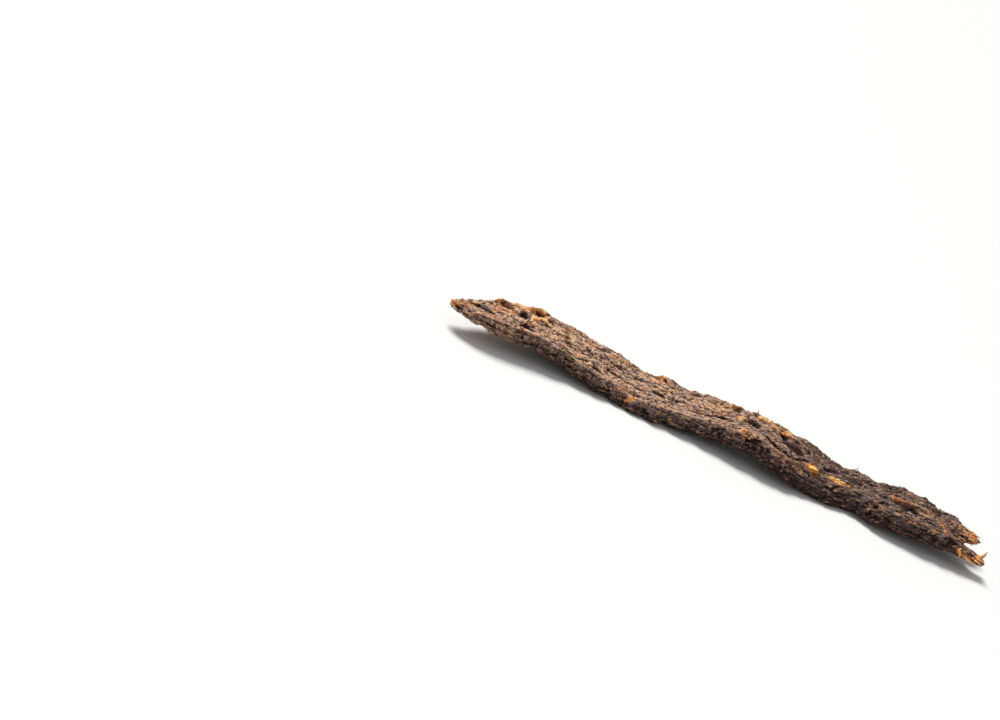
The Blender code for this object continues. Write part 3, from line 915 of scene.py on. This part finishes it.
def meat_finish():
    """The finish of the strip's body, which reads the marks that its mesh carries."""
    finish = Finish("dried_meat", IOR=1.35)
    mark, speckle, between = finish.mark, finish.speckle, finish.between

    # How light it is: painted light on crests, painted shade in hollows and seams, fibres and grit
    crest = mark("crest")
    lot = mark("lot")
    sleek = mark("sleek")
    mottle = speckle(MOTTLE, 3.0)
    stringy = between(mark("dark"), 0.4, 0.6)
    fleck = speckle(SHORT_FIBRES, 3.0, 0.7)
    fleck = fleck + stringy * (speckle(LONG_FIBRES, 3.0, 0.7) - fleck)
    grit = speckle(GRIT, 2.0, 0.6)
    crease = finish.streaks(SEAMS, 0.05) * between(mottle, 0.38, 0.52)
    tone = crest * 0.80 + lot * 0.15 + fleck * 0.9 + grit * 0.35 + mottle * 0.08 - 0.555
    tone = tone - 0.32 * crease

    # The painted-shade side is grainier, and sleek places are quieter and have a tone of their own
    shaded_side = between(mark("dark"), 0.66, 0.76)
    tone = tone + shaded_side * (1.4 * grit + 1.0 * fleck - 1.19)
    plain = 1.0 - sleek
    tone = tone * plain + sleek * (mark("tone") + 0.8 * fleck + 0.3 * crest - 0.52)

    # Between plum and tan, with amber patches, and golden grains with painted glints on the crests
    hue = speckle(HUES, 3.0, 0.8)
    warmth = between(hue + 0.1 * lot - 0.08 * mark("dark"), 0.50, 0.57)
    gold = mark("amber") * between(fleck + 0.5 * lot, 0.35, 0.7)
    glint = between(speckle(GLINTS, 2.0), 0.57, 0.64)
    glint = glint * between(crest, 0.3, 0.6) * (1.0 - 0.6 * mark("dark"))
    gold = finish.clamp(gold + 0.9 * glint + sleek)
    tone = tone + 0.1 * glint * plain
    color = meat_color(finish, tone, warmth, gold)

    # Ruddy spots, yellow dots of fat, and darker meat with painted shade on sides, pits, cracks
    ruddy = between(speckle(RUDDY_SPOTS, 3.0, 0.7), 0.52, 0.62)
    color = finish.stain_and_shade(0.8 * ruddy * (1.0 - 0.6 * shaded_side), color, BLUSH)
    yellow = between(speckle(YELLOW_DOTS, 1.0), 0.62, 0.69)
    yellow = yellow * between(crest, 0.3, 0.6) * (1.0 - mark("dark"))
    color = finish.blend(0.85 * yellow, color, finish.ramp(tone + 0.12, FAT_STOPS))
    dark = finish.clamp(mark("dark") * (1.0 - 0.85 * gold) + mark("hollow"))
    color = finish.stain_and_shade(dark, color, DARK_AND_SHADE_TINT)
    finish.drive("Base Color", color)

    finish.drive("Roughness", 0.44 + 0.4 * fleck + 0.3 * mark("hollow") - 0.12 * sleek)
    fine = speckle(FINE_GRAIN, 3.0, 0.6)
    finish.bump((fine + 0.5 * grit - 0.3 * crease) * (1.0 - 0.6 * sleek), 0.7, 0.2 * MM)
    return finish.material


def crumb_finish(name, golden):
    """The finish of crumbs, fibres or flecks, whose marks give their shade and warmth."""
    finish = Finish(name, IOR=1.38)
    fleck = finish.speckle(CRUMB_GRAIN, 2.0, 0.6)
    tone = finish.mark("tint") + fleck * 0.6 - 0.3
    warmth = finish.between(finish.speckle(CRUMB_HUES, 3.0, 0.7), 0.38, 0.62)
    color = meat_color(finish, tone, warmth, finish.mark("gold"), golden)
    finish.drive("Base Color", color)
    finish.drive("Roughness", 0.40 + 0.35 * fleck)
    finish.bump(fleck, 0.5, 0.12 * MM)
    return finish.material


def floor_finish():
    """A plain, pale floor."""
    finish = Finish("pale_floor", Roughness=0.6)
    finish.drive("Base Color", (0.90, 0.90, 0.90, 1.0))
    return finish.material


# Crumbs, flecks and fibres

LUMP_SHAPES = 6

# Splinters: number, ranges of half length, width and height, spread of turns, and the lowest
# crest and the most hollow place that they lie on
SPLINTER_COUNT = 7000
SPLINTER_LENGTH = (0.3, 1.0)
SPLINTER_WIDTH = (0.10, 0.24)
SPLINTER_HEIGHT = (0.08, 0.18)
SPLINTER_TURN = 0.28
SPLINTER_CREST = 0.45
SPLINTER_HOLLOW = 0.35

# Crumbs: share of a cluster's spread, spread of turns, and width and height for their length
CRUMB_SPREAD = 0.6
CRUMB_TURN = 0.35
CRUMB_WIDTH = (0.25, 0.5)
CRUMB_HEIGHT = (0.18, 0.32)


def template_arrays(bm):
    """Points and triangles of a template, which is freed."""
    bmesh.ops.triangulate(bm, faces=bm.faces)
    bm.verts.index_update()
    points = np.array([tuple(vertex.co) for vertex in bm.verts])
    faces = np.array([[vertex.index for vertex in face.verts] for face in bm.faces])
    bm.free()
    return points, faces


def lump_templates(dice, unevenness):
    """Small uneven lumps, two units across."""
    templates = []
    for _ in range(LUMP_SHAPES):
        bm = bmesh.new()
        bmesh.ops.create_icosphere(bm, subdivisions=1, radius=1.0)
        for vertex in bm.verts:
            vertex.co *= 1.0 + dice.uniform(-unevenness, unevenness)
        templates.append(template_arrays(bm))
    return templates


def gather(name, templates, copies, material):
    """One piece of many copies, each a template's number, a matrix, a tint and a gold share."""
    points, faces, tints, golds = [], [], [], []
    count = 0
    for pick, matrix, tint, gold in copies:
        shape, triangles = templates[pick]
        turn = np.array([list(row[:3]) for row in matrix.to_3x3()])
        points.append(shape @ turn.T + np.array(list(matrix.translation)))
        faces.append(triangles + count)
        count += len(shape)
        tints.append(np.full(len(shape), tint))
        golds.append(np.full(len(shape), gold))
    mesh = bpy.data.meshes.new(name)
    points = np.concatenate(points)
    points[:, 2] = np.maximum(points[:, 2], 0.0)
    mesh.from_pydata((points * MM).tolist(), [], np.concatenate(faces).tolist())
    mesh.shade_smooth()
    write_marks(mesh, {"tint": np.concatenate(tints), "gold": np.concatenate(golds)})
    return finish_piece(name, mesh, material)


class Skin:
    """The body's surface, for pieces to be set on. Lengths are in millimetres."""

    def __init__(self, mesh, middle):
        mesh.calc_loop_triangles()
        self.middle = middle
        self.points = read_rows(mesh.vertices, "co", 3) / MM
        self.corners = read_rows(mesh.loop_triangles, "vertices", 3, np.int64)
        a, b, c = (self.points[self.corners[:, i]] for i in range(3))
        across = np.cross(b - a, c - a)
        self.areas = 0.5 * np.linalg.norm(across, axis=1)
        self.normals = across / np.maximum(2.0 * self.areas, 1e-9)[:, None]
        self.tree = BVHTree.FromPolygons(self.points.tolist(), self.corners.tolist())
        self.marks = {name: read_rows(mesh.attributes[name].data, "value", 1, np.float32)
                      for name in ("crest", "amber", "dark", "hollow", "sleek")}

    def spot(self, x, y):
        """The point and normal on top of the strip at x and y, or else nearest to them."""
        start = Vector((x, y, 40.0)) - self.middle
        point, normal = self.tree.ray_cast(start, Vector((0.0, 0.0, -1.0)))[:2]
        if point is None:
            start.z = along(UNDERSIDE, x) + 0.4 * along(THICKNESS, x)
            point, normal = self.tree.find_nearest(start)[:2]
        return point, normal

    def spots(self, dice, count):
        """Random spots, evenly spread: point, normal and the marks there."""
        picks = dice.choice(len(self.areas), count, p=self.areas / self.areas.sum())
        shares = dice.dirichlet((1.0, 1.0, 1.0), count)
        for pick, share in zip(picks, shares):
            corners = self.corners[pick]
            marks = {name: float(rows[corners[0], 0]) for name, rows in self.marks.items()}
            yield Vector(share @ self.points[corners]), Vector(self.normals[pick]), marks


def set_on(point, normal, turn, size, sink):
    """Matrix of a copy that lies on a spot, along the grain but for a turn."""
    grain_way = Vector((math.cos(GRAIN_TURN + turn), math.sin(GRAIN_TURN + turn), 0.0))
    across = normal.cross(grain_way).normalized()
    way = across.cross(normal).normalized()
    axes = Matrix((way, across, normal)).transposed().to_4x4()
    return Matrix.Translation(point - normal * sink) @ axes @ Matrix.Diagonal((*size, 1.0))


def make_splinters(skin, material):
    """Short fibres that lie along the grain on the crests all over the strip."""
    dice = np.random.default_rng(SEED)
    templates = lump_templates(random.Random(SEED), 0.28)
    copies = []
    for point, normal, marks in skin.spots(dice, SPLINTER_COUNT):
        size = [dice.uniform(*side) for side in (SPLINTER_LENGTH, SPLINTER_WIDTH, SPLINTER_HEIGHT)]
        turn = dice.normal(0.0, SPLINTER_TURN)
        tint = 0.30 + 0.58 * dice.random()
        gold = float(dice.random() < 0.05 + 0.6 * marks["amber"]) * dice.uniform(0.5, 1.0)
        hollow = max(marks["hollow"], marks["sleek"] - 0.3)
        if marks["crest"] < SPLINTER_CREST or hollow > SPLINTER_HOLLOW:
            continue
        # Splinters on parts with painted shade get the same painted shade, most of them strongly
        tint *= 1.0 - (0.68 if dice.random() < 0.82 else 0.20) * marks["dark"]
        matrix = set_on(point, normal, turn, size, 0.4 * size[2])
        copies.append((int(dice.integers(LUMP_SHAPES)), matrix, tint, gold))
    gather("fibre_splinters", templates, copies, material)


def make_clusters(skin, material):
    """The golden and orange crumbs and flakes that lie in clusters."""
    dice = random.Random(SEED + 1)
    templates = lump_templates(dice, 0.25)
    copies = []
    for x, y, run, cross, count, half_length, tint, gold in CLUSTERS:
        for _ in range(count):
            at_x = x + dice.gauss(0.0, CRUMB_SPREAD * run)
            point, normal = skin.spot(at_x, y + dice.gauss(0.0, CRUMB_SPREAD * cross))
            long = half_length * dice.uniform(0.5, 1.1)
            size = (long, long * dice.uniform(*CRUMB_WIDTH), long * dice.uniform(*CRUMB_HEIGHT))
            matrix = set_on(point, normal, dice.gauss(0.0, CRUMB_TURN), size, 0.3 * size[2])
            pick = dice.randrange(LUMP_SHAPES)
            copies.append((pick, matrix, tint + dice.uniform(-0.22, 0.14), gold))
    gather("golden_crumbs", templates, copies, material)


def sliver_template(start):
    """A smooth, uneven sliver with pointed ends, two units long."""
    bm = bmesh.new()
    bmesh.ops.create_icosphere(bm, subdivisions=3, radius=1.0)
    for vertex in bm.verts:
        x, y, z = vertex.co
        bumps = noise.noise(Vector((x * 2.2 + start, y * 1.6, z)))
        narrow = 1.0 - 0.6 * abs(x)
        vertex.co = (x, y * narrow * (1.0 + 0.6 * bumps), z * narrow + 0.6 * bumps)
    return template_arrays(bm)


def make_flecks(skin, material):
    """The golden flecks of fat."""
    templates, copies = [], []
    for x, y, long, wide, high, turn, tilt, lift, tint in FLECKS:
        point, normal = skin.spot(x, y)
        normal = Vector((0.0, 0.0, 1.0))
        normal.rotate(Matrix.Rotation(math.radians(tilt), 3, "X"))
        matrix = set_on(point, normal, math.radians(turn), (long, wide, high), -lift)
        copies.append((len(copies), matrix, tint, 1.0))
        templates.append(sliver_template(7.3 * len(copies)))
    gather("fat_flecks", templates, copies, material)


def strand_template(bend):
    """A tapered strand of unit length along Z that sags towards X in its middle."""
    bm = bmesh.new()
    bmesh.ops.create_cone(bm, cap_ends=True, segments=7, radius1=1.0, radius2=0.15, depth=1.0)
    runs = [edge for edge in bm.edges if abs(edge.verts[0].co.z - edge.verts[1].co.z) > 0.5]
    bmesh.ops.subdivide_edges(bm, edges=runs, cuts=5)
    for vertex in bm.verts:
        t = vertex.co.z + 0.5
        uneven = 1.0 + 0.3 * noise.noise(Vector((vertex.co.x, vertex.co.y, 4.0 * t + bend)))
        vertex.co = (vertex.co.x * uneven + 4.0 * bend * t * (1.0 - t), vertex.co.y * uneven, t)
    return template_arrays(bm)


def make_strands(skin, material):
    """Torn fibres at the two prongs, the horn of the near one, and hairs on the face."""
    templates, copies = [], []
    for base, tip, radius, bend, tint, gold in STRANDS:
        base, tip = Vector(base) - skin.middle, Vector(tip) - skin.middle
        run = tip - base
        side = run.cross(Vector((0.0, 1.0, 0.0))).normalized()
        other = run.cross(side).normalized()
        axes = Matrix((side * radius, other * radius, run)).transposed().to_4x4()
        templates.append(strand_template(bend))
        copies.append((len(copies), Matrix.Translation(base) @ axes, tint, gold))
    gather("torn_fibres", templates, copies, material)


# Stage, light and camera

PHOTO_SIZE = (1000, 720)
TIP_PIXEL = Vector((452.0, 303.0))
TORN_PIXEL = Vector((983.0, 563.0))
CHORD = 151.2 * MM
CAMERA_DISTANCE = 0.6
CAMERA_LIFT = math.radians(22.5)
STRIP_MIDDLE = Vector((0.25 * MM, -2.98 * MM, 2.0 * MM))
SENSOR = 36.0
FLOOR_SIZE = 6.0
SKY_STRENGTH = 0.35
KEY_STRENGTH = 3.4
KEY_SOFTNESS = math.radians(24.0)
KEY_COLOR = (1.0, 0.98, 0.95)
KEY_PLACE = Vector((-0.30, 0.38, 0.55))


def make_camera():
    """Look at the strip so that its two ends fall on their pixels of the photograph."""
    across = TORN_PIXEL - TIP_PIXEL
    roll = math.atan2(across.y, across.x)
    pixel = CHORD / across.length
    forward = Vector((0.0, math.cos(CAMERA_LIFT), -math.sin(CAMERA_LIFT)))
    up = Vector((0.0, math.sin(CAMERA_LIFT), math.cos(CAMERA_LIFT)))
    right = Vector((1.0, 0.0, 0.0))
    offset = 0.5 * (TIP_PIXEL + TORN_PIXEL) - 0.5 * Vector(PHOTO_SIZE)
    run = across.normalized()
    rise = Vector((run.y, -run.x))
    place_at = STRIP_MIDDLE - forward * CAMERA_DISTANCE
    place_at -= right * offset.dot(run) * pixel + up * offset.dot(rise) * pixel
    rolled_right = right * math.cos(roll) + up * math.sin(roll)
    rolled_up = up * math.cos(roll) - right * math.sin(roll)
    turn = Matrix((rolled_right, rolled_up, -forward)).transposed()
    data = bpy.data.cameras.new("camera")
    data.sensor_width = SENSOR
    data.lens = SENSOR * CAMERA_DISTANCE / (pixel * PHOTO_SIZE[0])
    data.clip_start = 0.01
    camera = add_object("camera", data)
    camera.matrix_world = Matrix.Translation(place_at) @ turn.to_4x4()
    bpy.context.scene.camera = camera


def aim(lamp, position):
    """Put a lamp there and point it at the strip."""
    light = add_object(lamp.name, lamp)
    light.location = position
    light.rotation_euler = (STRIP_MIDDLE - light.location).to_track_quat("-Z", "Y").to_euler()


def make_stage():
    """A pale floor, an even pale sky and one soft light from behind on the left."""
    bm = bmesh.new()
    bmesh.ops.create_grid(bm, x_segments=1, y_segments=1, size=FLOOR_SIZE)
    mesh = bpy.data.meshes.new("floor")
    bm.to_mesh(mesh)
    bm.free()
    mesh.materials.append(floor_finish())
    floor = add_object("floor", mesh)
    world = bpy.data.worlds.new("studio")
    world.use_nodes = True
    background = world.node_tree.nodes["Background"]
    background.inputs["Color"].default_value = (1.0, 1.0, 1.0, 1.0)
    background.inputs["Strength"].default_value = SKY_STRENGTH
    bpy.context.scene.world = world
    key = bpy.data.lights.new("key", "SUN")
    key.energy = KEY_STRENGTH
    key.angle = KEY_SOFTNESS
    key.color = KEY_COLOR
    aim(key, KEY_PLACE)
    bpy.context.scene.view_settings.view_transform = "Standard"


def main():
    make_camera()
    make_stage()
    skin = Skin(*make_meat(meat_finish()))
    crumbs = crumb_finish("meat_crumbs", AMBER_STOPS)
    make_splinters(skin, crumbs)
    make_clusters(skin, crumbs)
    make_flecks(skin, crumb_finish("golden_fat", FAT_STOPS))
    make_strands(skin, crumbs)


main()
